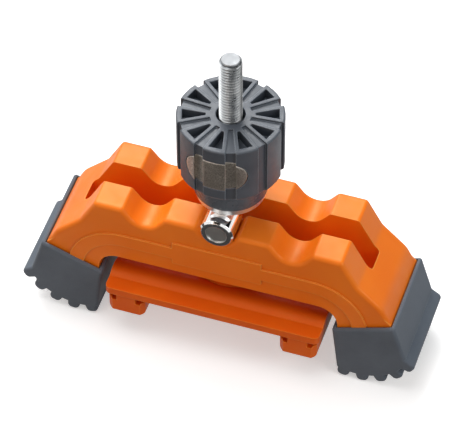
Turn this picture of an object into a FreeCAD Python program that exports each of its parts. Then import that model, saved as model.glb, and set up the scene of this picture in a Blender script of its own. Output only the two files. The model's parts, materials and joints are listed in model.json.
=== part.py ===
"""Screw-operated bridge clamp with a quick-release knob.

A moulded bridge stands on two rubber boots. A cross pin lies in one of three
notches on top of its rails, and a long hexagon-head bolt hangs through the pin.
The bolt carries a clamp plate with two T-shaped rails under the bridge, and the
knob on the bolt pulls the plate up. A sprung button across the knob carries half
a thread: pressed, it frees the bolt, which then slides without turning the knob.

Frame: millimetres, Z up, origin on the floor under the middle of the bridge,
X along the bridge from boot to boot, Y across it.
"""

import FreeCAD, Part
import math
import os

V = FreeCAD.Vector

# Running and resting clearances
guide_gap = 0.3
running_gap = 0.05
pocket_gap = 0.1

# Draw bolt: M8 x 100, fully threaded, hexagon head
bolt_diameter = 8.0
bolt_length = 100.0
bolt_tip_chamfer = 1.2
head_across_flats = 13.0
head_height = 5.3

# Bridge
rail_top = 56.5
bridge_depth = 31.6
slot_gap = 0.7
slot_half_length = 52.0
slot_corner_radius = 1.2
arch_top = 32.0
arch_corner_radius = 7.5
notch_pitch = 26.3
notch_count = 3
notch_flank_angle = 52.0
hump_edge_radius = 1.4
rail_edge_radius = 1.6
rail_end_x = 44.3
shoulder_x = 50.0
shoulder_z = 46.0
shoulder_radius = 5.0
hip_x = 59.0
hip_z = 37.4
hip_radius = 10.0
junction_outer_x = 62.3
junction_outer_z = 30.8
junction_inner_x = 43.4
junction_inner_z = 23.9
skin = 2.4
pocket_outer_wall = 2.2
pocket_inner_wall = 2.0
pocket_rib = 1.8
pocket_rib_pitch = 16.0
relief_height = 0.6
panel_half_width = 16.0
panel_bottom = 36.5
panel_top = 46.5
band_inner_radius = 15.2
band_outer_radius = 20.5
band_centre_x = 33.7
band_centre_z = 23.5

# Rubber boots
boot_depth = 35.0
boot_wall = 1.7
boot_mouth_gap = 0.5
boot_mouth_depth = 1.0
boot_edge_radius = 1.2
sole_centre_x = 51.0
sole_radius = 23.0
sole_rib_count = 5
sole_rib_pitch_angle = 18.5
sole_rib_first_angle = -12.5
sole_rib_height = 3.4
sole_rib_tip_half_width = 2.0
sole_rib_root_half_width = 2.5
sole_rib_tip_radius = 1.7
sole_rib_edge_radius = 1.0

# Cross pin and thrust washer
pin_diameter = 12.0
pin_length = 32.8
pin_chamfer = 0.7
pin_dimple_diameter = 7.6
pin_dimple_depth = 0.4
pin_seat_depth = 0.3
washer_diameter = 24.0
washer_thickness = 2.6
washer_edge_radius = 0.5

# Clamp plate
plate_underside = 20.1
plate_half_length = 38.8
plate_half_width = 23.0
plate_thickness = 3.0
pad_height = 2.0
pad_half_length = 11.0
pad_slope_end = 19.0
plate_corner_radius = 2.0
ridge_count = 3
ridge_pitch = 13.0
ridge_width = 9.0
ridge_height = 1.4
boss_diameter = 22.0
boss_roof = 2.0
rail_block_x = 31.2
rail_block_half_length = 22.6
rail_neck_width = 6.9
rail_neck_height = 3.2
rail_head_width = 13.3
rail_head_height = 5.0
rail_lip_height = 0.8
rail_lip_width = 1.4
rail_lead_in = 1.6
rail_pocket_width = 5.8
rail_pocket_count = 3
rail_pocket_web = 1.8
rail_pocket_depth = 3.6
rail_end_wall = 3.8
retainer_diameter = 16.0
retainer_thickness = 0.6
retainer_slot_count = 6

# Knob
knob_radius = 18.25
knob_bottom = 76.0
knob_top = 99.5
lobe_count = 10
channel_width = 3.6
channel_inner_width = 1.8
channel_inner_radius = 7.0
channel_side_depth = 1.2
channel_top_depth = 0.9
lobe_pocket_inner_radius = 8.3
lobe_pocket_inner_width = 1.0
lobe_pocket_outer_radius = 16.3
lobe_pocket_outer_width = 4.8
lobe_pocket_depth = 4.2
knob_bottom_radius = 1.6
knob_top_radius = 0.6
hub_diameter = 25.5
hub_top = 94.5
skirt_inner_radius = 16.2
skirt_depth = 4.6
skirt_rib_thickness = 1.4

# Quick-release button
button_height = 87.8
button_width = 21.2
button_face_height = 12.4
button_travel = 2.0
button_back = 12.0
slider_half_width = 7.5
slider_half_height = 4.5
slider_end = 9.5
spring_pocket_depth = 3.9
spring_pocket_diameter = 5.6
spring_diameter = 4.8
spring_wire = 0.5
spring_coils = 4.5
stop_pin_diameter = 2.0
stop_pin_y = -7.6
stop_groove_depth = 1.2

# Sizes that follow from the ones above
slot_width = bolt_diameter + 2 * slot_gap
flank = math.radians(notch_flank_angle)
pin_radius = pin_diameter / 2
notch_radius = pin_radius + running_gap
notch_apex_drop = notch_radius / math.cos(flank)
notch_half_width = notch_apex_drop / math.tan(flank)
junction_angle = math.atan2(junction_outer_z - junction_inner_z, junction_outer_x - junction_inner_x)
lowest_rib = math.radians(sole_rib_first_angle + sole_rib_pitch_angle)
sole_centre_z = (sole_radius - sole_rib_tip_radius) * math.cos(lowest_rib) + sole_rib_tip_radius
sole_centre_z += (sole_rib_tip_half_width - sole_rib_tip_radius) * math.sin(lowest_rib)
bolt_seat = plate_underside + head_height
boss_top = bolt_seat + boss_roof
washer_bottom = rail_top + pin_radius - pin_seat_depth
washer_top = washer_bottom + washer_thickness
collar_bottom = washer_top + running_gap
lobe_angle = 360.0 / lobe_count
channel_floor = knob_radius - channel_side_depth
spring_seat = slider_end + button_travel + guide_gap
stop_pin_z = button_height + slider_half_height - stop_groove_depth + guide_gap + stop_pin_diameter / 2


def xz(x, z, y=0.0):
    return V(x, y, z)


def rounded_wire(corners, place):
    """Closed outline through corners (a, b, radius), each rounded to its radius."""
    edges = []
    starts = []
    ends = []
    count = len(corners)
    for i in range(count):
        ax, az, _ = corners[i - 1]
        bx, bz, radius = corners[i]
        cx, cz, _ = corners[(i + 1) % count]
        back = V(ax - bx, 0, az - bz)
        ahead = V(cx - bx, 0, cz - bz)
        back.normalize()
        ahead.normalize()
        turn = math.acos(max(-1.0, min(1.0, back.dot(ahead))))
        reach = radius / math.tan(turn / 2) if radius else 0.0
        corner = V(bx, 0, bz)
        starts.append(corner + back * reach)
        ends.append(corner + ahead * reach)
        if radius:
            middle = back + ahead
            middle.normalize()
            centre = corner + middle * (radius / math.sin(turn / 2))
            top = centre - middle * radius
            points = [place(p.x, p.z) for p in (starts[-1], top, ends[-1])]
            edges.append((i, Part.Arc(*points).toShape()))
    wire_edges = []
    for i in range(count):
        wire_edges += [edge for index, edge in edges if index == i]
        a = ends[i]
        b = starts[(i + 1) % count]
        if a.distanceToPoint(b) > 1e-6:
            wire_edges.append(Part.makeLine(place(a.x, a.z), place(b.x, b.z)))
    return Part.Wire(Part.__sortEdges__(wire_edges))


def side_prism(corners, y0, y1):
    """Prism of an outline drawn in the XZ plane, from y0 to y1."""
    wire = rounded_wire(corners, lambda a, b: V(a, y0, b))
    return Part.Face(wire).extrude(V(0, y1 - y0, 0))


def plan_prism(corners, z0, z1):
    """Prism of an outline drawn in the XY plane, from z0 to z1."""
    wire = rounded_wire(corners, lambda a, b: V(a, b, z0))
    return Part.Face(wire).extrude(V(0, 0, z1 - z0))


def box(x0, x1, y0, y1, z0, z1):
    return Part.makeBox(x1 - x0, y1 - y0, z1 - z0, V(x0, y0, z0))


def upright(radius, z0, z1, x=0.0, y=0.0):
    return Part.makeCylinder(radius, z1 - z0, V(x, y, z0), V(0, 0, 1))


def across(radius, y0, y1, x=0.0, z=0.0):
    return Part.makeCylinder(radius, y1 - y0, V(x, y0, z), V(0, 1, 0))


def mirrored(shape):
    return shape.mirror(V(0, 0, 0), V(1, 0, 0))


def edges_where(shape, test):
    return [edge for edge in shape.Edges if test(edge)]


def edge_points(edge, count=5):
    first, last = edge.ParameterRange
    return [edge.valueAt(first + (last - first) * k / (count - 1)) for k in range(count)]


def top_corners():
    """Right half of the rail outline, from the middle notch to the boot."""
    corners = [(0.0, rail_top - notch_apex_drop, notch_radius)]
    for k in range(1, (notch_count + 1) // 2):
        x = k * notch_pitch
        corners.append((x - notch_pitch + notch_half_width, rail_top, hump_edge_radius))
        corners.append((x - notch_half_width, rail_top, hump_edge_radius))
        corners.append((x, rail_top - notch_apex_drop, notch_radius))
    last = (notch_count // 2) * notch_pitch
    corners.append((last + notch_half_width, rail_top, hump_edge_radius))
    corners.append((rail_end_x, rail_top, hump_edge_radius))
    corners.append((shoulder_x, shoulder_z, shoulder_radius))
    corners.append((hip_x, hip_z, hip_radius))
    corners.append((junction_outer_x, junction_outer_z, 0.0))
    return corners


def whole_outline(right_half):
    """Full outline from its right half, mirrored about the middle."""
    left = [(-x, z, r) for x, z, r in reversed(right_half) if x > 1e-6]
    return left + right_half


def pocket_region(y0, y1):
    """Hollow left by an even skin under the rail's top, open below."""
    corners = top_corners()
    corners.append((junction_inner_x, junction_inner_z, 0.0))
    corners.append((junction_inner_x, arch_top - 24.0, 0.0))
    wire = rounded_wire(whole_outline(corners), lambda a, b: V(a, y0, b))
    inner = Part.Face(wire).makeOffset2D(-skin)
    return inner.extrude(V(0, y1 - y0, 0))


def tongue(side):
    """Leg end that the boot is pulled over."""
    corners = [
        (junction_inner_x, junction_inner_z, 0.0),
        (junction_inner_x + 1.9, 8.6, 2.0),
        (sole_centre_x + 2.0, 6.4, 6.0),
        (62.0, 10.6, 6.0),
        (66.3, 17.6, 2.0),
        (junction_outer_x, junction_outer_z, 0.0),
        (junction_outer_x - 3.0, junction_outer_z + 3.0, 0.0),
        (junction_inner_x, junction_inner_z + 3.0, 0.0),
    ]
    if side < 0:
        corners = [(-x, z, r) for x, z, r in corners]
    return side_prism(corners, -bridge_depth / 2, bridge_depth / 2)


def relief(y0, y1):
    """Raised side band with a blank panel in its middle."""
    shape = box(-panel_half_width, panel_half_width, y0, y1, panel_bottom, panel_top)
    low = band_centre_z + band_inner_radius
    high = band_centre_z + band_outer_radius
    shape = shape.fuse(box(-band_centre_x, band_centre_x, y0, y1, low, high))
    for side in (-1, 1):
        x = side * band_centre_x
        ring = across(band_outer_radius, y0, y1, x, band_centre_z)
        ring = ring.cut(across(band_inner_radius, y0 - 1, y1 + 1, x, band_centre_z))
        quarter = box(min(x, x + side * 30), max(x, x + side * 30), y0, y1, band_centre_z - 2, high + 1)
        shape = shape.fuse(ring.common(quarter))
    outline = top_corners()
    outline.append((junction_inner_x, junction_inner_z, 0.0))
    outline.append((junction_inner_x, arch_top - 1.0, 0.0))
    limit = side_prism(whole_outline(outline), y0 - 1, y1 + 1)
    return shape.common(limit).removeSplitter()


def make_bridge():
    """Notched, slotted bridge, hollow and ribbed from below."""
    half_depth = bridge_depth / 2
    outline = top_corners()
    outline.append((junction_inner_x, junction_inner_z, 0.0))
    outline.append((junction_inner_x, arch_top, arch_corner_radius))
    body = side_prism(whole_outline(outline), -half_depth, half_depth)

    half_slot = slot_width / 2
    slot = plan_prism([
        (-slot_half_length, -half_slot, slot_corner_radius),
        (slot_half_length, -half_slot, slot_corner_radius),
        (slot_half_length, half_slot, slot_corner_radius),
        (-slot_half_length, half_slot, slot_corner_radius),
    ], arch_top - 0.5, rail_top + 5)
    mouth = box(-junction_inner_x, junction_inner_x, -half_slot, half_slot, arch_top - 9, arch_top + 0.5)
    body = body.cut(slot)
    body = body.cut(mouth)

    def on_rail_top(edge):
        points = edge_points(edge)
        on_side = all(abs(abs(p.y) - half_depth) < 1e-4 for p in points)
        return on_side and all(above_shoulder(p) for p in points)

    body = body.makeFillet(rail_edge_radius, edges_where(body, on_rail_top))

    y0 = half_slot + pocket_inner_wall
    y1 = half_depth - pocket_outer_wall
    hollow = pocket_region(y0, y1)
    for k in range(-2, 3):
        x = k * pocket_rib_pitch
        hollow = hollow.cut(box(x - pocket_rib / 2, x + pocket_rib / 2, y0 - 1, y1 + 1, 0, rail_top))
    body = body.cut(hollow)
    body = body.cut(hollow.mirror(V(0, 0, 0), V(0, 1, 0)))

    for side in (-1, 1):
        body = body.fuse(tongue(side))
    body = body.fuse(relief(half_depth - 0.2, half_depth + relief_height))
    body = body.fuse(relief(-half_depth - relief_height, -half_depth + 0.2))
    return body.removeSplitter()


def above_shoulder(point):
    """True on the upper outline of the bridge, false on the junction and arch."""
    if point.z > rail_top - pin_radius - 2 * running_gap - 1.0:
        return True
    if abs(point.x) < junction_inner_x + 3.0:
        return False
    across_junction = (abs(point.x) - junction_inner_x) * math.tan(junction_angle)
    return point.z > junction_inner_z + across_junction - 1e-3 and abs(point.x) > shoulder_x - 2.0


def sole_rib(angle):
    """One rounded grip rib, pointing away from the sole's centre."""
    turn = math.radians(angle)
    out = (math.sin(turn), -math.cos(turn))
    sideways = (math.cos(turn), math.sin(turn))

    def corner(distance, half_width, radius):
        x = sole_centre_x + out[0] * distance + sideways[0] * half_width
        z = sole_centre_z + out[1] * distance + sideways[1] * half_width
        return (x, z, radius)

    root = sole_radius - sole_rib_height - 2.0
    corners = [
        corner(root, -sole_rib_root_half_width, 0.0),
        corner(sole_radius, -sole_rib_tip_half_width, sole_rib_tip_radius),
        corner(sole_radius, sole_rib_tip_half_width, sole_rib_tip_radius),
        corner(root, sole_rib_root_half_width, 0.0),
    ]
    rib = side_prism(corners, -boot_depth / 2, boot_depth / 2)
    root_line = xz(sole_centre_x + out[0] * root, sole_centre_z + out[1] * root)

    def on_rib_end(edge):
        points = edge_points(edge)
        away = [(p.x - root_line.x) * out[0] + (p.z - root_line.z) * out[1] for p in points]
        return on_boot_side(edge) and max(away) > 0.1

    return rib.makeFillet(sole_rib_edge_radius, edges_where(rib, on_rib_end))


def on_boot_side(edge):
    return all(abs(abs(p.y) - boot_depth / 2) < 1e-4 for p in edge_points(edge))


def make_boot(side):
    """Rubber boot with a ribbed sole, pulled over the leg's end."""
    along = V(math.cos(junction_angle), 0, math.sin(junction_angle))
    inner_rim = xz(junction_inner_x, junction_inner_z) - along * boot_wall
    rim = xz(junction_outer_x, junction_outer_z) + along * boot_wall
    corners = [
        (inner_rim.x, inner_rim.z, 0.8),
        (rim.x, rim.z, 0.8),
        (69.0, 14.0, 0.0),
        (62.0, 2.0, 0.0),
        (44.2, 2.0, 0.0),
    ]
    half_depth = boot_depth / 2
    body = side_prism(corners, -half_depth, half_depth)

    def on_upper_side(edge):
        return on_boot_side(edge) and max(p.z for p in edge_points(edge)) > sole_radius - 9.5

    body = body.makeFillet(boot_edge_radius, edges_where(body, on_upper_side))
    sole = across(
        sole_radius - sole_rib_height, -half_depth - 1, half_depth + 1, sole_centre_x, sole_centre_z)
    body = body.common(sole)
    ribs = [sole_rib(sole_rib_first_angle + k * sole_rib_pitch_angle) for k in range(sole_rib_count)]
    body = body.fuse(ribs).removeSplitter()
    body = body.cut(tongue(1)).cut(boot_mouth())
    if side < 0:
        body = mirrored(body)
    return body


def boot_mouth():
    """Narrow gap round the leg where it enters the boot."""
    along = V(math.cos(junction_angle), 0, math.sin(junction_angle))
    down = V(math.sin(junction_angle), 0, -math.cos(junction_angle))
    inner = xz(junction_inner_x, junction_inner_z) - along * boot_mouth_gap
    outer = xz(junction_outer_x, junction_outer_z) + along * boot_mouth_gap
    points = (inner - down, outer - down, outer + down * boot_mouth_depth, inner + down * boot_mouth_depth)
    half = bridge_depth / 2 + boot_mouth_gap
    return side_prism([(p.x, p.z, 0.0) for p in points], -half, half)


def hexagon(across_flats, z0, z1):
    radius = across_flats / math.sqrt(3)
    corners = []
    for k in range(6):
        angle = math.radians(60 * k)
        corners.append((radius * math.cos(angle), radius * math.sin(angle), 0.0))
    return plan_prism(corners, z0, z1)


def make_bolt():
    """Hexagon-head bolt, head down in the plate."""
    head = hexagon(head_across_flats, plate_underside, bolt_seat)
    crown_radius = head_across_flats / math.sqrt(3)
    crown = Part.makeCone(crown_radius - 0.9, crown_radius + 0.1, 0.6, V(0, 0, plate_underside), V(0, 0, 1))
    crown = crown.fuse(upright(crown_radius + 0.1, plate_underside + 0.6, bolt_seat))
    head = head.common(crown)
    radius = bolt_diameter / 2
    shank = upright(radius, bolt_seat - 1.0, bolt_seat + bolt_length - bolt_tip_chamfer)
    tip = Part.makeCone(
        radius, radius - bolt_tip_chamfer * 0.8, bolt_tip_chamfer,
        V(0, 0, bolt_seat + bolt_length - bolt_tip_chamfer), V(0, 0, 1))
    return head.fuse(shank).fuse(tip).removeSplitter()


def make_retainer():
    """Push-on star washer that keeps the bolt in the plate."""
    ring = upright(retainer_diameter / 2, boss_top, boss_top + retainer_thickness)
    ring = ring.cut(upright(bolt_diameter / 2, boss_top - 1, boss_top + 2))
    for k in range(retainer_slot_count):
        slot = box(0, bolt_diameter / 2 + 1.6, -0.4, 0.4, boss_top - 1, boss_top + 2)
        slot.rotate(V(0, 0, 0), V(0, 0, 1), k * 360.0 / retainer_slot_count)
        ring = ring.cut(slot)
    return ring


def make_pin():
    """Cross pin that lies in a pair of notches and carries the bolt."""
    half = pin_length / 2
    pin = across(pin_radius - pin_chamfer, -half, half, 0, rail_top)
    pin = pin.fuse(across(pin_radius, -half + pin_chamfer, half - pin_chamfer, 0, rail_top))
    for side in (-1, 1):
        bevel = Part.makeCone(
            pin_radius, pin_radius - pin_chamfer, pin_chamfer,
            V(0, side * (half - pin_chamfer), rail_top), V(0, side, 0))
        pin = pin.fuse(bevel)
    pin = pin.removeSplitter()
    for y in (-half, half - pin_dimple_depth):
        pin = pin.cut(across(pin_dimple_diameter / 2, y, y + pin_dimple_depth, 0, rail_top))
    seat = washer_diameter / 2 + 0.6
    pin = pin.cut(box(-pin_radius, pin_radius, -seat, seat, washer_bottom, rail_top + pin_radius + 1))
    bore = upright(bolt_diameter / 2 + guide_gap, rail_top - pin_radius - 1, rail_top + pin_radius + 1)
    return pin.cut(bore)


def make_washer():
    """Thrust washer between the cross pin and the knob's collar."""
    washer = upright(washer_diameter / 2, washer_bottom, washer_top)
    rims = edges_where(washer, lambda e: e.Length > math.pi * washer_diameter - 1)
    washer = washer.makeFillet(washer_edge_radius, rims)
    return washer.cut(upright(bolt_diameter / 2 + guide_gap, washer_bottom - 1, washer_top + 1))


def rail_block(side):
    """T-shaped rail under one end of the plate, hollow from below."""
    x = side * rail_block_x
    half_neck = rail_neck_width / 2
    half_head = rail_head_width / 2
    neck_bottom = plate_underside - rail_neck_height
    head_bottom = neck_bottom - rail_head_height
    lip_top = neck_bottom + rail_lip_height
    corners = [
        (x - half_neck, plate_underside + 0.5, 0.0),
        (x - half_neck, neck_bottom, 0.4),
        (x - half_head + rail_lip_width, neck_bottom, 0.4),
        (x - half_head + rail_lip_width, lip_top, 0.2),
        (x - half_head, lip_top, 0.3),
        (x - half_head, head_bottom, 1.0),
        (x + half_head, head_bottom, 1.0),
        (x + half_head, lip_top, 0.3),
        (x + half_head - rail_lip_width, lip_top, 0.2),
        (x + half_head - rail_lip_width, neck_bottom, 0.4),
        (x + half_neck, neck_bottom, 0.4),
        (x + half_neck, plate_underside + 0.5, 0.0),
    ]
    half_length = rail_block_half_length
    block = side_prism(corners, -half_length, half_length)
    taper = plan_prism([
        (x - half_head, -half_length + rail_lead_in, 0.0),
        (x - half_head + rail_lead_in, -half_length, 0.0),
        (x + half_head - rail_lead_in, -half_length, 0.0),
        (x + half_head, -half_length + rail_lead_in, 0.0),
        (x + half_head, half_length - rail_lead_in, 0.0),
        (x + half_head - rail_lead_in, half_length, 0.0),
        (x - half_head + rail_lead_in, half_length, 0.0),
        (x - half_head, half_length - rail_lead_in, 0.0),
    ], head_bottom - 1, plate_underside + 1)
    block = block.common(taper)
    span = 2 * (half_length - rail_end_wall)
    length = (span - (rail_pocket_count - 1) * rail_pocket_web) / rail_pocket_count
    for k in range(rail_pocket_count):
        y = -span / 2 + k * (length + rail_pocket_web)
        block = block.cut(box(
            x - rail_pocket_width / 2, x + rail_pocket_width / 2, y, y + length,
            head_bottom - 1, head_bottom + rail_pocket_depth))
    return block


def make_plate():
    """Clamp plate: ridges on top, hexagon pocket and two T rails below."""
    low = plate_underside
    top = low + plate_thickness
    body = plan_prism([
        (-plate_half_length, -plate_half_width, 0.0),
        (plate_half_length, -plate_half_width, 0.0),
        (plate_half_length, plate_half_width, 0.0),
        (-plate_half_length, plate_half_width, 0.0),
    ], low, top)
    pad = side_prism([
        (-pad_slope_end - 2.0, low + 1.0, 0.0),
        (pad_slope_end + 2.0, low + 1.0, 0.0),
        (pad_slope_end + 2.0, top, 0.0),
        (pad_slope_end, top, 6.0),
        (pad_half_length, top + pad_height, 6.0),
        (-pad_half_length, top + pad_height, 6.0),
        (-pad_slope_end, top, 6.0),
        (-pad_slope_end - 2.0, top, 0.0),
    ], 0, plate_half_width)
    body = body.fuse(pad)
    for k in range(ridge_count):
        y = (k - (ridge_count - 1) / 2) * ridge_pitch
        half = ridge_width / 2
        arc = Part.Arc(
            V(-plate_half_length, y - half, top - 0.001),
            V(-plate_half_length, y, top + ridge_height),
            V(-plate_half_length, y + half, top - 0.001)).toShape()
        base = Part.makeLine(arc.valueAt(arc.LastParameter), arc.valueAt(arc.FirstParameter))
        body = body.fuse(Part.Face(Part.Wire([arc, base])).extrude(V(2 * plate_half_length, 0, 0)))
    body = body.common(plan_prism([
        (-plate_half_length, -plate_half_width, plate_corner_radius),
        (plate_half_length, -plate_half_width, plate_corner_radius),
        (plate_half_length, plate_half_width, plate_corner_radius),
        (-plate_half_length, plate_half_width, plate_corner_radius),
    ], low - 1, top + pad_height + 1))
    boss = Part.makeCone(boss_diameter / 2, boss_diameter / 2 - 1.0, boss_top - top + 0.5,
                         V(0, 0, top - 0.5), V(0, 0, 1))
    body = body.fuse(boss)
    for side in (-1, 1):
        body = body.fuse(rail_block(side))
    body = body.removeSplitter()
    body = body.cut(hexagon(head_across_flats + 2 * pocket_gap, low - 1, bolt_seat))
    body = body.cut(upright(bolt_diameter / 2 + pocket_gap, low - 1, boss_top + 1))
    for side in (-1, 1):
        x = side * 9.0
        y = -side * 11.5
        body = body.cut(box(x - 1.2, x + 1.2, y - 0.6, y + 0.6, low - 1, low + 1.2))
    return body


def radial_slot(r0, r1, width0, width1, angle, z0, z1):
    """Straight-sided slot between two radii about the bolt's axis."""
    slot = plan_prism([
        (r0, -width0 / 2, 0.0),
        (r1, -width1 / 2, 0.0),
        (r1, width1 / 2, 0.0),
        (r0, width0 / 2, 0.0),
    ], z0, z1)
    slot.rotate(V(0, 0, 0), V(0, 0, 1), angle)
    return slot


def lobed_body(z0, z1):
    """Knob blank with its ten lobes; a lobe faces the button's side."""
    body = upright(knob_radius, z0, z1)
    for k in range(lobe_count):
        angle = -90.0 + (k + 0.5) * lobe_angle
        body = body.cut(radial_slot(
            channel_floor, knob_radius + 4.0, channel_width, channel_width, angle, z0 - 1, z1 + 1))
    return body


def button_stadium(width, height, y0, y1):
    """Long-round outline of the button, seen along Y."""
    half = width / 2
    side = height / 2
    radius = side - 0.01
    corners = [
        (-half, button_height - side, radius),
        (half, button_height - side, radius),
        (half, button_height + side, radius),
        (-half, button_height + side, radius),
    ]
    return side_prism(corners, y0, y1)


def slider_channel(gap):
    """Straight guide for the button's slider through the hub."""
    return box(
        -slider_half_width - gap, slider_half_width + gap,
        -button_back - 1.0, spring_seat,
        button_height - slider_half_height - gap, button_height + slider_half_height + gap)


def make_grip():
    """Ribbed outer grip of the knob, hollow under its skirt."""
    body = upright(knob_radius, knob_bottom, knob_top)
    body = body.makeFillet(knob_bottom_radius, edges_where(body, lambda e: is_rim(e, knob_bottom)))
    body = body.makeFillet(knob_top_radius, edges_where(body, lambda e: is_rim(e, knob_top)))
    body = body.common(lobed_body(knob_bottom - 1, knob_top + 1))
    for k in range(lobe_count):
        angle = -90.0 + k * lobe_angle
        body = body.cut(radial_slot(
            lobe_pocket_inner_radius, lobe_pocket_outer_radius, lobe_pocket_inner_width,
            lobe_pocket_outer_width, angle, knob_top - lobe_pocket_depth, knob_top + 1))
        body = body.cut(radial_slot(
            channel_inner_radius, knob_radius, channel_inner_width, channel_width,
            angle + lobe_angle / 2, knob_top - channel_top_depth, knob_top + 1))
        body = body.cut(radial_slot(
            knob_radius - 0.1, knob_radius + 2.0, channel_width, channel_width,
            angle + lobe_angle / 2, knob_top - channel_top_depth, knob_top + 1))
    body = body.cut(upright(hub_diameter / 2, knob_bottom - 1, hub_top))
    body = body.cut(upright(bolt_diameter / 2 + 1.0, hub_top - 1, knob_top + 1))
    recess = upright(skirt_inner_radius, knob_bottom - 1, knob_bottom + skirt_depth)
    recess = recess.cut(upright(hub_diameter / 2, knob_bottom - 2, knob_bottom + skirt_depth + 1))
    for k in range(lobe_count):
        web = box(hub_diameter / 2 - 1, skirt_inner_radius + 1, -skirt_rib_thickness / 2, skirt_rib_thickness / 2,
                  knob_bottom + 1.5, knob_bottom + skirt_depth + 1)
        web.rotate(V(0, 0, 0), V(0, 0, 1), -90.0 + (k + 0.5) * lobe_angle)
        recess = recess.cut(web)
    body = body.cut(recess)
    body = body.cut(button_cavity())
    return body.cut(slider_channel(guide_gap))


def is_rim(edge, z):
    return all(abs(p.z - z) < 1e-4 for p in edge_points(edge)) and edge.Length > 10.0


def button_cavity():
    """Room for the button's face, one travel deeper than its back."""
    return button_stadium(
        button_width + 2 * guide_gap, button_face_height + 2 * guide_gap,
        -knob_radius - 2.0, -button_back + button_travel + guide_gap)


def make_hub():
    """Smooth collar and core of the knob, pressed into the grip."""
    body = upright(hub_diameter / 2, collar_bottom, hub_top)
    body = body.makeFillet(0.6, edges_where(body, lambda e: is_rim(e, collar_bottom)))
    body = body.cut(upright(bolt_diameter / 2 + guide_gap, collar_bottom - 1, hub_top + 1))
    body = body.cut(button_cavity())
    body = body.cut(slider_channel(guide_gap))
    return body.cut(make_stop_pin())


def make_stop_pin():
    """Cross pin that stops the button from leaving the knob."""
    radius = stop_pin_diameter / 2
    half = math.sqrt((hub_diameter / 2) ** 2 - (stop_pin_y - radius) ** 2) - 0.2
    return Part.makeCylinder(radius, 2 * half, V(-half, stop_pin_y, stop_pin_z), V(1, 0, 0))


def make_button():
    """Quick-release button with half a thread on the far side of its window."""
    face = lobed_body(knob_bottom, knob_top).common(
        button_stadium(button_width, button_face_height, -knob_radius - 1.0, -button_back))
    shank = box(
        -slider_half_width, slider_half_width, -button_back - 0.5, slider_end,
        button_height - slider_half_height, button_height + slider_half_height)
    body = face.fuse(shank).removeSplitter()
    z0 = button_height - slider_half_height - 1
    z1 = button_height + slider_half_height + 1
    fit_radius = bolt_diameter / 2 + running_gap
    window = upright(fit_radius, z0, z1)
    window = window.fuse(box(-fit_radius, fit_radius, -button_travel - guide_gap, 0, z0, z1))
    window = window.fuse(upright(fit_radius, z0, z1, 0, -button_travel - guide_gap))
    body = body.cut(window)
    groove_top = button_height + slider_half_height
    radius = stop_pin_diameter / 2
    body = body.cut(box(
        -slider_half_width - 1, slider_half_width + 1,
        stop_pin_y - radius - button_travel - guide_gap, stop_pin_y + radius + guide_gap,
        groove_top - stop_groove_depth, groove_top + 1))
    body = body.cut(across(
        spring_pocket_diameter / 2, slider_end - spring_pocket_depth, slider_end + 1, 0, button_height))
    return body


def make_spring():
    """Compression spring between the slider and the grip's wall."""
    start = slider_end - spring_pocket_depth + spring_wire / 2
    finish = spring_seat - spring_wire / 2
    pitch = (finish - start) / spring_coils
    mean_radius = (spring_diameter - spring_wire) / 2
    helix = Part.makeHelix(pitch, finish - start, mean_radius)
    first = helix.Edges[0].valueAt(helix.Edges[0].FirstParameter)
    tangent = V(0, 2 * math.pi * mean_radius, pitch)
    profile = Part.Wire(Part.makeCircle(spring_wire / 2, first, tangent))
    tube = Part.Wire(helix).makePipeShell([profile], True, False)
    tube.rotate(V(0, 0, 0), V(1, 0, 0), -90)
    tube.translate(V(0, start, button_height))
    print("spring gap between turns", round(pitch - spring_wire, 3))
    return tube


def main():
    os.makedirs("parts", exist_ok=True)
    nodes = {
        "bridge_body": make_bridge,
        "left_boot": lambda: make_boot(-1),
        "right_boot": lambda: make_boot(1),
        "clamp_plate": make_plate,
        "draw_bolt": make_bolt,
        "bolt_retainer": make_retainer,
        "cross_pin": make_pin,
        "thrust_washer": make_washer,
        "knob_grip": make_grip,
        "knob_hub": make_hub,
        "release_button": make_button,
        "button_spring": make_spring,
        "button_stop_pin": make_stop_pin,
    }
    for name, build in nodes.items():
        shape = build()
        solids = shape.Solids
        size = shape.BoundBox
        print(name, "solids", len(solids), "valid", shape.isValid(), "volume", round(shape.Volume, 1),
              "x", round(size.XMin, 2), round(size.XMax, 2), "y", round(size.YMin, 2), round(size.YMax, 2),
              "z", round(size.ZMin, 2), round(size.ZMax, 2))
        if len(solids) == 1:
            shape = solids[0]
        shape.exportStep("parts/" + name + ".step")


if __name__ == "__main__":
    main()
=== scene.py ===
# %% [markdown]
# # A screw-operated bridge clamp
# The clamp is a moulded bridge on two rubber boots, a long bolt that hangs through a cross pin, and a knob that draws
# the bolt up. Its solids come from the CAD model, at their real size and in their real places. This lesson gives them
# their finishes, cuts the screw thread that the CAD model leaves plain, and lights the clamp as in a small studio.

# %% Load the CAD model
import json
import math
import bmesh
import bpy
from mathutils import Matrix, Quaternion, Vector


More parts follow.
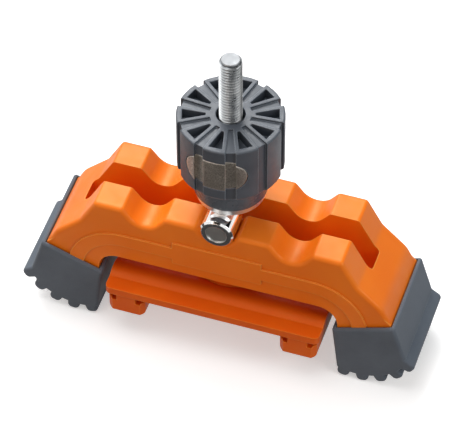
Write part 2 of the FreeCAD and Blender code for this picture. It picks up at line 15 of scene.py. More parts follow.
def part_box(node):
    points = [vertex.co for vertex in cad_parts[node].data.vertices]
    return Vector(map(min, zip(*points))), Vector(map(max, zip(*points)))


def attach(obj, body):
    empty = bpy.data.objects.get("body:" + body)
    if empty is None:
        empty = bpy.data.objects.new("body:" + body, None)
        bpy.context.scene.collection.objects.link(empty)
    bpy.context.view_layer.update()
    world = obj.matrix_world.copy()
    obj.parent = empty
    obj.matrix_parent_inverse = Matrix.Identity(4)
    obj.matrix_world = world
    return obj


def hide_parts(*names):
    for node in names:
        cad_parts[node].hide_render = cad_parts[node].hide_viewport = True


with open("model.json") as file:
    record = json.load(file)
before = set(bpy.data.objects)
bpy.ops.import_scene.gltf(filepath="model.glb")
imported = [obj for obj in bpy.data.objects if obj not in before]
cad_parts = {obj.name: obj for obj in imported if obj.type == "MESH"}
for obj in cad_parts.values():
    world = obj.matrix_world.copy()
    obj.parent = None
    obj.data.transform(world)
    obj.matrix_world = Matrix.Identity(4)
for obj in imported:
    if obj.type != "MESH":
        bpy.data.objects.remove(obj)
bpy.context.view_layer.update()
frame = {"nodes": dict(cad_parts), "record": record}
cad_nodes = frame["nodes"]
print("nodes:", ", ".join(sorted(cad_nodes)))

# %% [markdown]
# ## The camera
# The photograph was taken with a long lens from in front, a little to the right and well above. A long lens keeps the
# far boot nearly as large as the near one. The camera stands where the photographer stood relative to the clamp, and
# is turned so that the clamp fills the picture.

# %% Place the camera
camera_place = Vector((0.2390, -0.7187, 0.8927))
camera_target = Vector((0.0005, 0.0, 0.0487))
camera_roll = math.radians(0.2)
camera_data = bpy.data.cameras.new("studio_camera")
camera_data.sensor_width = 36.0
camera_data.lens = 256.0
camera_data.dof.use_dof = False
camera = bpy.data.objects.new("studio_camera", camera_data)
bpy.context.scene.collection.objects.link(camera)
camera.location = camera_place
camera.rotation_mode = "QUATERNION"
aim = (camera_target - camera_place).to_track_quat("-Z", "Y")
camera.rotation_quaternion = aim @ Quaternion((0.0, 0.0, 1.0), -camera_roll)
bpy.context.scene.camera = camera
print("camera distance in m:", round((camera_target - camera_place).length, 3))

# %% [markdown]
# ## The floor
# The clamp stands on a pale sheet of card. It could be one huge plane, but a round one has no corner that a low view
# could catch. A photographer lights the card from behind until it is white and only the contact shadows are left. Here
# a glow does that. It grows away from the clamp, where the lamps no longer reach, so a low view has no grey horizon.
# Only rays from the camera and from shiny surfaces see the glow, so it lights nothing else. The camera also sees the
# card paler than it is, because a card as pale as that would throw too much light up under the clamp.

# %% Lay the floor
floor_radius = 3.0
floor_mesh = bpy.data.meshes.new("floor")
floor_shape = bmesh.new()
bmesh.ops.create_circle(floor_shape, cap_ends=True, segments=96, radius=floor_radius)
floor_shape.to_mesh(floor_mesh)
floor_shape.free()
floor = bpy.data.objects.new("floor", floor_mesh)
bpy.context.scene.collection.objects.link(floor)
print("floor across in m:", 2 * floor_radius)

# %% Paint the card
true_grey = 0.36
seen_grey = 0.90
floor_finish = bpy.data.materials.new("pale_card")
floor_finish.use_nodes = True
floor_nodes = floor_finish.node_tree.nodes
floor_links = floor_finish.node_tree.links
floor_shader = floor_nodes["Principled BSDF"]
floor_shader.inputs["Roughness"].default_value = 0.8
floor_shader.inputs["Specular IOR Level"].default_value = 0.1
floor_ray = floor_nodes.new("ShaderNodeLightPath")
floor_grey = floor_nodes.new("ShaderNodeMapRange")
floor_grey.inputs["To Min"].default_value = true_grey
floor_grey.inputs["To Max"].default_value = seen_grey
floor_links.new(floor_ray.outputs["Is Camera Ray"], floor_grey.inputs["Value"])
floor_links.new(floor_grey.outputs["Result"], floor_shader.inputs["Base Color"])
floor_mesh.materials.append(floor_finish)
print("card grey:", true_grey, "seen as", seen_grey)

# %% Let the card glow
glow_range = {"From Min": 0.2, "From Max": 1.5, "To Min": 0.42, "To Max": 1.0}
floor_place = floor_nodes.new("ShaderNodeTexCoord")
from_clamp = floor_nodes.new("ShaderNodeVectorMath")
from_clamp.operation = "LENGTH"
floor_links.new(floor_place.outputs["Object"], from_clamp.inputs[0])
far_glow = floor_nodes.new("ShaderNodeMapRange")
for key, number in glow_range.items():
    far_glow.inputs[key].default_value = number
floor_links.new(from_clamp.outputs["Value"], far_glow.inputs["Value"])
seen = floor_nodes.new("ShaderNodeMath")
seen.operation = "MAXIMUM"
floor_links.new(floor_ray.outputs["Is Camera Ray"], seen.inputs[0])
floor_links.new(floor_ray.outputs["Is Glossy Ray"], seen.inputs[1])
glow_strength = floor_nodes.new("ShaderNodeMath")
glow_strength.operation = "MULTIPLY"
floor_links.new(seen.outputs[0], glow_strength.inputs[0])
floor_links.new(far_glow.outputs["Result"], glow_strength.inputs[1])
glow = floor_nodes.new("ShaderNodeEmission")
floor_links.new(glow_strength.outputs[0], glow.inputs["Strength"])
lit_card = floor_nodes.new("ShaderNodeAddShader")
floor_links.new(floor_shader.outputs["BSDF"], lit_card.inputs[0])
floor_links.new(glow.outputs["Emission"], lit_card.inputs[1])
floor_links.new(lit_card.outputs["Shader"], floor_nodes["Material Output"].inputs["Surface"])
print("glow from", glow_range["To Min"], "by the clamp to", glow_range["To Max"], "far off")

# %% [markdown]
# ## The light
# Product photographs use large soft lamps, so that shadows are soft and metal has broad highlights. The world gives an
# even base light. Rays from the camera and from shiny surfaces see it as plain white, which is the studio's background.
# A large lamp above and behind on the left gives the tops of the rails their glow. Weaker ones above, left and right
# fill the shades, and a low one in front has the warm tint that the front faces have in the photograph.

# %% Light the world
base_strength = 0.24
seen_strength = 1.0
world = bpy.data.worlds.new("studio")
world.use_nodes = True
bpy.context.scene.world = world
world_nodes = world.node_tree.nodes
world_links = world.node_tree.links
base_light = world_nodes["Background"]
base_light.inputs["Color"].default_value = (1.0, 1.0, 1.0, 1.0)
base_light.inputs["Strength"].default_value = base_strength
seen_light = world_nodes.new("ShaderNodeBackground")
seen_light.inputs["Color"].default_value = (1.0, 1.0, 1.0, 1.0)
seen_light.inputs["Strength"].default_value = seen_strength
ray = world_nodes.new("ShaderNodeLightPath")
camera_or_gloss = world_nodes.new("ShaderNodeMath")
camera_or_gloss.operation = "MAXIMUM"
world_links.new(ray.outputs["Is Camera Ray"], camera_or_gloss.inputs[0])
world_links.new(ray.outputs["Is Glossy Ray"], camera_or_gloss.inputs[1])
any_seen = world_nodes.new("ShaderNodeMath")
any_seen.operation = "MAXIMUM"
world_links.new(camera_or_gloss.outputs[0], any_seen.inputs[0])
world_links.new(ray.outputs["Is Transmission Ray"], any_seen.inputs[1])
world_mix = world_nodes.new("ShaderNodeMixShader")
world_links.new(any_seen.outputs[0], world_mix.inputs["Fac"])
world_links.new(base_light.outputs[0], world_mix.inputs[1])
world_links.new(seen_light.outputs[0], world_mix.inputs[2])
world_links.new(world_mix.outputs[0], world_nodes["World Output"].inputs["Surface"])
bpy.context.scene.view_settings.view_transform = "Standard"
print("base light:", base_strength, "seen as", seen_strength)


# %% Hang the lamps
def soft_lamp(name, place, power, width, colour=(1.0, 1.0, 1.0), target=Vector((0.0, 0.0, 0.03))):
    """Square soft lamp that points at the clamp."""
    lamp = bpy.data.lights.new(name, "AREA")
    lamp.energy = power
    lamp.color = colour
    lamp.size = width
    holder = bpy.data.objects.new(name, lamp)
    bpy.context.scene.collection.objects.link(holder)
    holder.location = place
    holder.rotation_mode = "QUATERNION"
    holder.rotation_quaternion = (target - Vector(place)).to_track_quat("-Z", "Y")
    print(name, "at", tuple(place), "power", power)
    return holder


soft_lamp("back_lamp", (-0.40, 0.62, 0.90), 9.2, 0.6)
soft_lamp("top_lamp", (-0.15, -0.05, 1.10), 4.0, 0.7)
soft_lamp("left_lamp", (-1.0, 0.20, 0.55), 1.6, 0.5)
soft_lamp("right_lamp", (1.0, -0.25, 0.60), 3.6, 0.6)
soft_lamp("front_lamp", (-0.35, -0.90, 0.35), 1.7, 0.6, colour=(1.0, 0.70, 0.50))

# %% [markdown]
# Bright metal shows what stands round it. In an all-white room it would look like white paper, so photographers hang
# dark cards beside it, which give the bolt its dark middle and the pin its black streaks. Three of the four cards here
# hang, and one lies on the floor in front. They are seen only in reflections: the camera, the soft light and the
# shadows pass through them.


# %% Hang the dark cards
def dark_card(name, place, width, height, grey=0.01, target=Vector((0.0, 0.0, 0.10))):
    """Dark card that faces the clamp and shows only in reflections."""
    shape = bmesh.new()
    bmesh.ops.create_grid(shape, x_segments=1, y_segments=1, size=0.5)
    bmesh.ops.scale(shape, verts=shape.verts, vec=(width, height, 1.0))
    turn = (target - Vector(place)).to_track_quat("Z", "Y").to_matrix()
    bmesh.ops.rotate(shape, verts=shape.verts, matrix=turn)
    bmesh.ops.translate(shape, verts=shape.verts, vec=place)
    mesh = bpy.data.meshes.new(name)
    shape.to_mesh(mesh)
    shape.free()
    finish = bpy.data.materials.new(name)
    finish.use_nodes = True
    shader = finish.node_tree.nodes["Principled BSDF"]
    shader.inputs["Base Color"].default_value = (grey, grey, grey, 1.0)
    shader.inputs["Roughness"].default_value = 1.0
    shader.inputs["Specular IOR Level"].default_value = 0.0
    mesh.materials.append(finish)
    card = bpy.data.objects.new(name, mesh)
    bpy.context.scene.collection.objects.link(card)
    card.visible_camera = False
    card.visible_diffuse = False
    card.visible_transmission = False
    card.visible_shadow = False
    print(name, "at", tuple(place), width, "x", height)


dark_card("overhead_card", (0.30, -0.12, 0.90), 0.95, 0.8)
dark_card("right_card", (0.75, 0.60, 0.55), 0.6, 0.6)
dark_card("front_card", (-0.15, -0.85, 0.80), 0.7, 0.5)
dark_card("table_card", (-0.05, -0.44, 0.001), 0.8, 0.8, grey=0.05, target=Vector((-0.05, -0.44, 1.0)))

# %% [markdown]
# ## The screw thread
# The bolt is an M8 screw with a pitch of 1.25 mm, threaded nearly to its head. A thread is one small V-shaped profile
# that climbs one pitch in each turn. It could be faked with bump, but its outline shows against the white background.
# So a profile one pitch tall is spun about the bolt's axis while it climbs. Each turn ends where the next one begins.

# %% Spin the thread
bolt_low, bolt_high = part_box("draw_bolt")
pitch = 0.00125
crest_radius = 0.00398
root_radius = 0.00325
head_height = 0.0053
head_seat = bolt_low.z + head_height
tip_z = bolt_high.z
chamfer_height = 0.0012
chamfer_slope = 0.8
crest_round = 0.00005
run_in = 1.5 * pitch
head_overlap = 0.0002
steps_a_turn = 36
turns = int((tip_z - head_seat) / pitch) + 3
print("turns of thread:", turns)


def spin_thread(shape, bottom):
    """Helical V profile about the Z axis, from bottom up: one turn, then copies of it."""
    # each point is a radius and a share of the pitch
    profile = [
        (root_radius, 0.0),
        (root_radius, 0.16),
        (crest_radius - crest_round, 0.49),
        (crest_radius, 0.53),
        (crest_radius, 0.63),
        (crest_radius - crest_round, 0.67),
        (root_radius, 1.0),
    ]
    chain = [shape.verts.new((r, 0.0, bottom + share * pitch)) for r, share in profile]
    rails = [shape.edges.new(pair) for pair in zip(chain, chain[1:])]
    bmesh.ops.spin(
        shape, geom=chain + rails, cent=(0, 0, 0), axis=(0, 0, 1), dvec=(0, 0, pitch / steps_a_turn),
        angle=2 * math.pi, steps=steps_a_turn, use_merge=False, use_normal_flip=False, use_duplicate=False)
    made = 1
    while made < turns:
        copy = bmesh.ops.duplicate(shape, geom=shape.verts[:] + shape.edges[:] + shape.faces[:])["geom"]
        moved = [g for g in copy if isinstance(g, bmesh.types.BMVert)]
        bmesh.ops.translate(shape, verts=moved, vec=(0, 0, made * pitch))
        made *= 2
    bmesh.ops.remove_doubles(shape, verts=shape.verts, dist=1e-6)


def cut_across(shape, height, upper):
    """Cut off what is above height, or below it where upper is False, and close the cut."""
    cut = bmesh.ops.bisect_plane(
        shape, geom=shape.verts[:] + shape.edges[:] + shape.faces[:], dist=1e-7,
        plane_co=(0, 0, height), plane_no=(0, 0, 1), clear_outer=upper, clear_inner=not upper)
    rim = [e for e in cut["geom_cut"] if isinstance(e, bmesh.types.BMEdge)]
    bmesh.ops.holes_fill(shape, edges=rim, sides=0)


def taper_tip(shape, start, slope):
    """Turn the thread down to a cone above start, as a chamfered bolt end is."""
    for vertex in shape.verts:
        above = vertex.co.z - start
        radius = math.hypot(vertex.co.x, vertex.co.y)
        limit = crest_radius - above * slope
        if above > 0 and radius > limit:
            vertex.co.x *= limit / radius
            vertex.co.y *= limit / radius


thread_shape = bmesh.new()
spin_thread(thread_shape, head_seat - run_in)
taper_tip(thread_shape, tip_z - chamfer_height, chamfer_slope)
cut_across(thread_shape, tip_z, upper=True)
cut_across(thread_shape, head_seat - head_overlap, upper=False)
print("thread faces:", len(thread_shape.faces))

# %% [markdown]
# The hexagon head is made from a circle. Points on a circle are pushed out to the hexagon's flats, and a cone of 30
# degrees trims its corners. Where the cone meets a flat it leaves the curved edge that every machined head has.


# %% Make the hexagon head
flats = 0.013
head_face_z = bolt_low.z
washer_face_radius = 0.95 * flats / 2
corner_slope = math.tan(math.radians(30))


def hexagon_reach(angle):
    """Distance from the centre to the hexagon's outline in one direction."""
    sixth = math.pi / 3
    return flats / 2 / math.cos((angle % sixth) - sixth / 2)


def make_head(shape):
    """Chamfered hexagon head, its chamfered face down: first the chamfer grows from the face, then the flats."""
    ring = bmesh.ops.create_circle(shape, cap_ends=True, segments=96, radius=washer_face_radius)["verts"]
    bmesh.ops.translate(shape, verts=ring, vec=(0, 0, head_face_z))
    for level in range(2):
        rim = [e for e in shape.edges if e.is_boundary] if level else [e for v in ring for e in v.link_edges]
        rim = list(dict.fromkeys(rim))
        grown = bmesh.ops.extrude_edge_only(shape, edges=rim)["geom"]
        raised = [g for g in grown if isinstance(g, bmesh.types.BMVert)]
        for vertex in raised:
            angle = math.atan2(vertex.co.y, vertex.co.x)
            reach = hexagon_reach(angle)
            scale = reach / math.hypot(vertex.co.x, vertex.co.y)
            vertex.co.x *= scale
            vertex.co.y *= scale
            if level:
                vertex.co.z = head_seat
            else:
                vertex.co.z = head_face_z + (reach - washer_face_radius) * corner_slope
    top = [e for e in shape.edges if e.is_boundary]
    bmesh.ops.holes_fill(shape, edges=top, sides=0)


head_shape = bmesh.new()
make_head(head_shape)
print("head faces:", len(head_shape.faces))


# %% Join head and thread
def finished_object(name, shape, smooth_angle=30.0):
    """Object at the origin from a bmesh, normals outwards, flat across sharp edges only."""
    bmesh.ops.remove_doubles(shape, verts=shape.verts, dist=1e-7)
    bmesh.ops.recalc_face_normals(shape, faces=shape.faces)
    for face in shape.faces:
        face.smooth = True
    for edge in shape.edges:
        edge.smooth = not edge.is_manifold or edge.calc_face_angle(0.0) < math.radians(smooth_angle)
    mesh = bpy.data.meshes.new(name)
    shape.to_mesh(mesh)
    shape.free()
    made = bpy.data.objects.new(name, mesh)
    bpy.context.scene.collection.objects.link(made)
    return made


def add_shape(target, source):
    """Copy all of source into target, and free source."""
    carrier = bpy.data.meshes.new("carrier")
    source.to_mesh(carrier)
    source.free()
    target.from_mesh(carrier)
    bpy.data.meshes.remove(carrier)


add_shape(thread_shape, head_shape)
bolt = finished_object("threaded_bolt", thread_shape)
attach(bolt, "screw")
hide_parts("draw_bolt")
print("bolt triangles:", sum(len(p.vertices) - 2 for p in bolt.data.polygons))

# %% [markdown]
# ## Building a finish
# Every finish starts from one physically based shader. A few short helpers add the nodes that vary it. All patterns
# read Object coordinates in metres, so a grain of 0.3 mm is a noise of about 3000 cells to the metre, on each piece.


# %% Start a finish
finishes = {}


def new_finish(name, metallic=0.0, specular=0.5):
    """Material with one shader and a node named place, which gives the point on the piece."""
    made = bpy.data.materials.new(name)
    made.use_nodes = True
    shader = made.node_tree.nodes["Principled BSDF"]
    shader.inputs["Metallic"].default_value = metallic
    shader.inputs["Specular IOR Level"].default_value = specular
    place = made.node_tree.nodes.new("ShaderNodeTexCoord")
    place.name = "place"
    return made


def set_socket(finish, name, value):
    """Connect a value to a socket of the finish's shader."""
    shader = finish.node_tree.nodes["Principled BSDF"]
    finish.node_tree.links.new(value, shader.inputs[name])


def keep(name, finish):
    """Put a finish among those that the pieces can take."""
    finishes[name] = finish
    print(name, "has", len(finish.node_tree.nodes), "nodes")


# %% [markdown]
# Two nodes make every pattern. Noise gives soft clouds or fine grain, depending on its scale. A map range picks the
# part of that noise that matters, and stretches it to the values that a colour mix or the roughness needs.


# %% Make patterns
def noise(finish, scale, detail=2.0, roughness=0.5, stretch=None):
    """Value noise in object space, from 0 to 1."""
    nodes, links = finish.node_tree.nodes, finish.node_tree.links
    made = nodes.new("ShaderNodeTexNoise")
    made.inputs["Scale"].default_value = scale
    made.inputs["Detail"].default_value = detail
    made.inputs["Roughness"].default_value = roughness
    where = nodes["place"].outputs["Object"]
    if stretch:
        turned = nodes.new("ShaderNodeMapping")
        turned.inputs["Scale"].default_value = stretch
        links.new(where, turned.inputs["Vector"])
        where = turned.outputs["Vector"]
    links.new(where, made.inputs["Vector"])
    return made.outputs["Fac"]


def remap(finish, value, low, high, to_low, to_high):
    """Stretch one range of a value to another, clamped."""
    made = finish.node_tree.nodes.new("ShaderNodeMapRange")
    finish.node_tree.links.new(value, made.inputs["Value"])
    for key, number in (("From Min", low), ("From Max", high), ("To Min", to_low), ("To Max", to_high)):
        made.inputs[key].default_value = number
    return made.outputs["Result"]


# %% [markdown]
# Patterns are joined by a colour mix, whose share can itself be a pattern, and by one arithmetic step.


# %% Join patterns
def blend_colours(finish, share, first, second):
    """Mix two colours, given as tuples or sockets, by a share from 0 to 1."""
    made = finish.node_tree.nodes.new("ShaderNodeMix")
    made.data_type = "RGBA"
    for socket, colour in ((made.inputs["A"], first), (made.inputs["B"], second)):
        colour_socket = [s for s in made.inputs if s.name == socket.name and s.type == "RGBA"][0]
        if isinstance(colour, tuple):
            colour_socket.default_value = (*colour, 1.0)
        else:
            finish.node_tree.links.new(colour, colour_socket)
    finish.node_tree.links.new(share, made.inputs["Factor"])
    return [s for s in made.outputs if s.type == "RGBA"][0]


def combine(finish, operation, first, second):
    """One arithmetic step between two values."""
    made = finish.node_tree.nodes.new("ShaderNodeMath")
    made.operation = operation
    made.use_clamp = True
    for socket, value in zip(made.inputs, (first, second)):
        if isinstance(value, (int, float)):
            socket.default_value = value
        else:
            finish.node_tree.links.new(value, socket)
    return made.outputs[0]


# %% [markdown]
# Wear, highlights and shade follow the shape. A bevel node rounds the normal near an edge, so where that normal leans
# away from the true one, there is an edge, painted paler: partly wear where hands rub and partly a painted highlight.
# Ambient occlusion over about a millimetre finds the sharp inner corners, which are painted darker as painted shade.
# Neither needs a painted map, so both still fit when the shape changes.


# %% Find edges and corners
# Edge mask: the edges it finds are painted paler, partly as wear and partly as a painted highlight.
def worn_and_highlit_edges(finish, width):
    """1 on sharp outer edges and 0 on flats: how far a rounded normal leans from the true one."""
    nodes, links = finish.node_tree.nodes, finish.node_tree.links
    rounded = nodes.new("ShaderNodeBevel")
    rounded.samples = 6
    rounded.inputs["Radius"].default_value = width
    geometry = nodes.new("ShaderNodeNewGeometry")
    lean = nodes.new("ShaderNodeVectorMath")
    lean.operation = "DOT_PRODUCT"
    links.new(rounded.outputs["Normal"], lean.inputs[0])
    links.new(geometry.outputs["Normal"], lean.inputs[1])
    return remap(finish, lean.outputs["Value"], 0.98, 0.80, 0.0, 1.0)


# Corner mask: the corners it finds are painted darker, as painted shade.
def crease_shade(finish, reach):
    """1 deep in a sharp inner corner and 0 in the open, by how much a short reach outwards is closed in."""
    nodes, links = finish.node_tree.nodes, finish.node_tree.links
    shut_in = nodes.new("ShaderNodeAmbientOcclusion")
    shut_in.samples = 12
    shut_in.only_local = True
    shut_in.inputs["Distance"].default_value = reach
    return remap(finish, shut_in.outputs["AO"], 0.95, 0.55, 0.0, 1.0)


# %% Raise the surface
def raise_surface(finish, height, depth, rounded=0.0):
    """Bump from a height from 0 to 1, depth metres deep, on softly rounded edges."""
    nodes, links = finish.node_tree.nodes, finish.node_tree.links
    bump = nodes.new("ShaderNodeBump")
    bump.inputs["Distance"].default_value = depth
    bump.inputs["Strength"].default_value = 1.0
    links.new(height, bump.inputs["Height"])
    if rounded:
        soft = nodes.new("ShaderNodeBevel")
        soft.samples = 6
        soft.inputs["Radius"].default_value = rounded
        links.new(soft.outputs["Normal"], bump.inputs["Normal"])
    set_socket(finish, "Normal", bump.outputs["Normal"])


# %% [markdown]
# ## Orange nylon
# The bridge and the plate are moulded in orange nylon. The mould was spark eroded, which leaves an even matt grain of
# about a third of a millimetre, and the melt leaves faint clouds where it flowed. Edges are a little paler and
# smoother, partly from wear where hands touch them and partly as a painted highlight, and sharp inner corners have
# painted shade.
# Some light enters the plastic, which keeps its shadows warm. The plate's finish is a darker, redder copy of the same
# nylon, painted shade for the shade that the plate lies in.


# %% Mix the orange nylon
def orange_nylon(name, dark, light, pale, specular):
    """Cloudy orange with painted shade in sharp inner corners, edges paler from wear and a painted highlight, and an
    eroded grain.
    """
    finish = new_finish(name, specular=specular)
    clouds = noise(finish, 38.0, 3.0, 0.55)
    base = blend_colours(finish, remap(finish, clouds, 0.35, 0.65, 0.0, 1.0), dark, light)
    # Painted shade: sharp inner corners are mixed towards a dark red.
    painted_shade_red = tuple(0.45 * share * share for share in dark)
    corner_shade_share = combine(finish, "MULTIPLY", crease_shade(finish, 0.0012), 0.4)
    base = blend_colours(finish, corner_shade_share, base, painted_shade_red)
    # Edges are mixed towards pale: partly wear, partly a painted highlight.
    wear_and_highlight = worn_and_highlit_edges(finish, 0.0006)
    set_socket(finish, "Base Color", blend_colours(finish, combine(finish, "MULTIPLY", wear_and_highlight, 0.8), base, pale))
    patches = noise(finish, 260.0, 2.0)
    set_socket(finish, "Roughness", remap(finish, patches, 0.3, 0.7, 0.37, 0.47))
    grain = noise(finish, 2600.0, 2.0, 0.6)
    raise_surface(finish, grain, 0.00003, 0.0003)
    shader = finish.node_tree.nodes["Principled BSDF"]
    shader.inputs["Specular Tint"].default_value = (1.0, 0.92, 0.50, 1.0)
    shader.inputs["Subsurface Weight"].default_value = 0.12
    shader.inputs["Subsurface Radius"].default_value = (1.0, 0.35, 0.08)
    shader.inputs["Subsurface Scale"].default_value = 0.0012
    return finish


keep("orange_nylon", orange_nylon(
    "orange_nylon", dark=(0.93, 0.182, 0.005), light=(0.98, 0.212, 0.008), pale=(1.0, 0.46, 0.08), specular=0.50))
# The plate's finish is a darker, redder copy of the nylon: painted shade.
keep("shaded_orange_nylon", orange_nylon(
    "shaded_orange_nylon", dark=(0.80, 0.110, 0.004), light=(0.86, 0.135, 0.005), pale=(1.0, 0.30, 0.04),
    specular=0.25))

# %% [markdown]
# ## Boot rubber
# The boots are a grey elastomer with a dry, slightly dusty skin. It is rougher than the nylon, has fine pits, and its
# edges are painted lighter, as a painted highlight.


# %% Mix the boot rubber
def boot_rubber(dark, light, edge):
    """Dusty pitted rubber with a painted highlight on its edges."""
    finish = new_finish("boot_rubber", specular=0.22)
    dust = noise(finish, 55.0, 4.0, 0.6)
    base = blend_colours(finish, remap(finish, dust, 0.35, 0.7, 0.0, 1.0), dark, light)
    # Painted highlight: edges are mixed towards a pale grey.
    wear_and_highlight = worn_and_highlit_edges(finish, 0.0007)
    set_socket(finish, "Base Color", blend_colours(finish, combine(finish, "MULTIPLY", wear_and_highlight, 0.6), base, edge))
    set_socket(finish, "Roughness", remap(finish, dust, 0.3, 0.7, 0.55, 0.70))
    pits = noise(finish, 1900.0, 3.0, 0.65)
    raise_surface(finish, pits, 0.00005, 0.0004)
    shader = finish.node_tree.nodes["Principled BSDF"]
    shader.inputs["Sheen Weight"].default_value = 0.12
    shader.inputs["Sheen Roughness"].default_value = 0.5
    return finish


keep("boot_rubber", boot_rubber(dark=(0.094, 0.114, 0.142), light=(0.126, 0.150, 0.182), edge=(0.32, 0.36, 0.40)))

# %% [markdown]
# ## Knob plastics
# The grip is a dark blue-grey plastic with a fine moulded grain, and the collar inside it is the same plastic from a
# polished mould, so it is smoother and looks a little lighter.


# %% Mix the knob plastics
def knob_plastic(name, dark, light, smoothest, roughest, grain_depth):
    """Cloudy dark plastic with edges paler from wear and a painted highlight; roughness goes from smoothest to
    roughest.
    """
    rubbed_and_highlit = (0.40, 0.46, 0.53)
    finish = new_finish(name)
    clouds = noise(finish, 70.0, 3.0)
    base = blend_colours(finish, remap(finish, clouds, 0.35, 0.65, 0.0, 1.0), dark, light)
    # Edges are mixed towards a pale blue-grey: partly wear, partly a painted highlight.
    wear_and_highlight = worn_and_highlit_edges(finish, 0.0005)
    set_socket(finish, "Base Color", blend_colours(finish, combine(finish, "MULTIPLY", wear_and_highlight, 0.55), base, rubbed_and_highlit))
    set_socket(finish, "Roughness", remap(finish, noise(finish, 300.0), 0.3, 0.7, smoothest, roughest))
    raise_surface(finish, noise(finish, 2800.0, 2.0, 0.6), grain_depth, 0.0005)
    return finish


keep("knob_plastic", knob_plastic(
    "knob_plastic", dark=(0.064, 0.076, 0.094), light=(0.088, 0.102, 0.124), smoothest=0.36, roughest=0.48,
    grain_depth=0.00003))
keep("hub_plastic", knob_plastic(
    "hub_plastic", dark=(0.085, 0.100, 0.120), light=(0.105, 0.122, 0.145), smoothest=0.22, roughest=0.32,
    grain_depth=0.000006))

# %% [markdown]
# ## Chrome
# The pin is chromed and polished, with faint wiping marks that only show in its roughness. The middle of each of its
# ends is a darker, duller grey. The washer has the same plating on a rougher face, so it is satin.

# %% Mix the chrome
pin_low, pin_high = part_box("cross_pin")
pin_axis_z = (pin_low.z + pin_high.z) / 2
pin_half_length = pin_high.y
end_disc_radius = 0.0037
end_disc_depth = 0.0006
print("pin axis at a height of", round(1000 * pin_axis_z, 2), "mm")


def grey_end_disc(finish):
    """1 on the middle of the pin's two end faces, and 0 elsewhere."""
    nodes, links = finish.node_tree.nodes, finish.node_tree.links
    apart = nodes.new("ShaderNodeSeparateXYZ")
    links.new(nodes["place"].outputs["Object"], apart.inputs["Vector"])
    flat = nodes.new("ShaderNodeCombineXYZ")
    links.new(apart.outputs["X"], flat.inputs["X"])
    links.new(apart.outputs["Z"], flat.inputs["Z"])
    radius = nodes.new("ShaderNodeVectorMath")
    radius.operation = "DISTANCE"
    links.new(flat.outputs["Vector"], radius.inputs[0])
    radius.inputs[1].default_value = (0.0, 0.0, pin_axis_z)
    inside = remap(finish, radius.outputs["Value"], end_disc_radius, end_disc_radius + 0.0003, 1.0, 0.0)
    from_middle = combine(finish, "ABSOLUTE", apart.outputs["Y"], 0.0)
    end_disc_start = pin_half_length - end_disc_depth
    at_end = remap(finish, from_middle, end_disc_start - 0.0002, end_disc_start, 0.0, 1.0)
    return combine(finish, "MULTIPLY", inside, at_end)


def chrome(name, dull):
    """Polished plating, or satin plating when dull adds to its roughness."""
    cool, warm, end_disc_grey = (0.80, 0.80, 0.81), (0.90, 0.90, 0.89), (0.58, 0.58, 0.56)
    finish = new_finish(name, metallic=1.0)
    smears = noise(finish, 140.0, 4.0, 0.6, stretch=(1.0, 3.0, 0.5))
    plated = blend_colours(finish, remap(finish, smears, 0.3, 0.7, 0.0, 1.0), cool, warm)
    # The middle of each end face is mixed towards a darker grey and made rougher.
    end_disc = grey_end_disc(finish)
    set_socket(finish, "Base Color", blend_colours(finish, end_disc, plated, end_disc_grey))
    gloss = remap(finish, smears, 0.35, 0.75, 0.05 + dull, 0.16 + dull)
    set_socket(finish, "Roughness", combine(finish, "ADD", gloss, combine(finish, "MULTIPLY", end_disc, 0.30)))
    raise_surface(finish, noise(finish, 900.0, 2.0), 0.000004, 0.0002)
    return finish


keep("chrome", chrome("chrome", dull=0.0))
keep("satin_plating", chrome("satin_plating", dull=0.30))

# %% [markdown]
# ## Zinc plated steel
# The bolt is zinc plated: a paler, softer shine than chrome, with cloudy patches. Painted shade makes it darker in
# the roots of the thread, where the distance from the bolt's axis is small, and on its cut end, which is also rougher.


# %% Mix the zinc plating
def zinc_steel():
    """Cloudy plating on the crests, with painted shade in the roots and on the cut end, which is also rougher."""
    grey, pale, root_shade_grey, end_shade_grey = (0.50, 0.52, 0.53), (0.64, 0.65, 0.65), (0.22, 0.235, 0.25), (0.30, 0.31, 0.32)
    finish = new_finish("zinc_steel", metallic=1.0)
    nodes, links = finish.node_tree.nodes, finish.node_tree.links
    apart = nodes.new("ShaderNodeSeparateXYZ")
    links.new(nodes["place"].outputs["Object"], apart.inputs["Vector"])
    flat = nodes.new("ShaderNodeCombineXYZ")
    links.new(apart.outputs["X"], flat.inputs["X"])
    links.new(apart.outputs["Y"], flat.inputs["Y"])
    radius = nodes.new("ShaderNodeVectorMath")
    radius.operation = "LENGTH"
    links.new(flat.outputs["Vector"], radius.inputs[0])
    patches = noise(finish, 220.0, 4.0, 0.6)
    plated = blend_colours(finish, remap(finish, patches, 0.3, 0.7, 0.0, 1.0), grey, pale)
    # Painted shade: the thread's roots are mixed towards a dark grey.
    crest = remap(finish, radius.outputs["Value"], 0.0033, 0.0039, 0.0, 1.0)
    # Painted shade: the cut end is mixed towards a dark grey and made rougher.
    shaded_cut_end = remap(finish, apart.outputs["Z"], tip_z - 0.0005, tip_z - 0.0001, 0.0, 1.0)
    bolt_tone = blend_colours(finish, crest, root_shade_grey, plated)
    set_socket(finish, "Base Color", blend_colours(finish, shaded_cut_end, bolt_tone, end_shade_grey))
    gloss = remap(finish, patches, 0.3, 0.7, 0.22, 0.40)
    set_socket(finish, "Roughness", combine(finish, "ADD", gloss, combine(finish, "MULTIPLY", shaded_cut_end, 0.30)))
    raise_surface(finish, noise(finish, 3000.0, 2.0), 0.000012)
    return finish


keep("zinc_steel", zinc_steel())

# %% [markdown]
# ## Cast and drawn metal
# The button is a tumbled die casting, speckled with small dents. The retainer, the spring and the stop pin are drawn
# steel, whose streaks run along the wire.


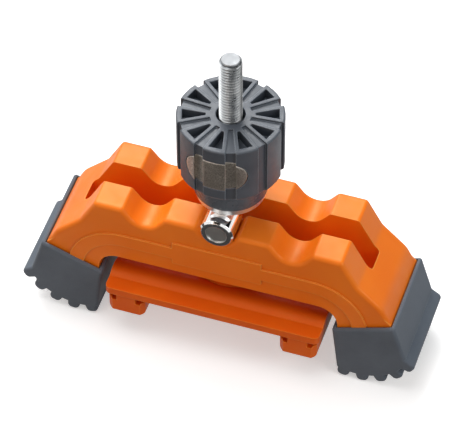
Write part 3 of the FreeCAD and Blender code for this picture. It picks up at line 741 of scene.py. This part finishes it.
# %% Mix the cast metal
def cast_metal():
    """Speckled grey casting with edges paler from wear and a painted highlight."""
    dark, light, rubbed_and_highlit = (0.40, 0.36, 0.31), (0.88, 0.82, 0.73), (0.80, 0.76, 0.70)
    finish = new_finish("cast_metal", metallic=1.0)
    speckle = noise(finish, 2300.0, 3.0, 0.7)
    clouds = noise(finish, 160.0, 3.0)
    tone = combine(finish, "MULTIPLY", remap(finish, speckle, 0.38, 0.62, 0.0, 1.0), remap(
        finish, clouds, 0.35, 0.65, 0.35, 1.0))
    cast = blend_colours(finish, tone, dark, light)
    # Edges are mixed towards a pale grey: partly wear, partly a painted highlight.
    wear_and_highlight = worn_and_highlit_edges(finish, 0.0006)
    set_socket(finish, "Base Color", blend_colours(finish, combine(finish, "MULTIPLY", wear_and_highlight, 0.5), cast, rubbed_and_highlit))
    set_socket(finish, "Roughness", remap(finish, speckle, 0.3, 0.7, 0.50, 0.32))
    raise_surface(finish, speckle, 0.00006, 0.0004)
    return finish


keep("cast_metal", cast_metal())


# %% Mix the drawn steel
def drawn_steel():
    """Bright steel with long streaks."""
    dark, light = (0.52, 0.53, 0.54), (0.68, 0.69, 0.70)
    finish = new_finish("drawn_steel", metallic=1.0)
    streaks = noise(finish, 500.0, 3.0, 0.6, stretch=(1.0, 0.15, 1.0))
    set_socket(finish, "Base Color", blend_colours(finish, remap(finish, streaks, 0.3, 0.7, 0.0, 1.0), dark, light))
    set_socket(finish, "Roughness", remap(finish, streaks, 0.3, 0.7, 0.20, 0.34))
    raise_surface(finish, streaks, 0.00001)
    return finish


keep("spring_steel", drawn_steel())

# %% [markdown]
# ## Giving each piece its finish
# A CAD node keeps its shape, and only its material changes. The record says which material each piece is made of, and
# that names its finish. Two pieces take a finish of their own: the plate a darker, redder copy of the nylon, which is
# painted shade, and the washer satin plating.

# %% Assign the finishes
# The plate's own finish is painted shade: a darker, redder copy of the orange nylon.
own_finishes = {"clamp_plate": "shaded_orange_nylon", "thrust_washer": "satin_plating"}
for part in frame["record"]["subparts"]:
    node = cad_nodes[part["node"]]
    finish_name = own_finishes.get(part["node"], part["material_slot"])
    node.data.materials.clear()
    node.data.materials.append(finishes[finish_name])
    print(part["node"], "takes", finish_name)
bolt.data.materials.append(finishes["zinc_steel"])
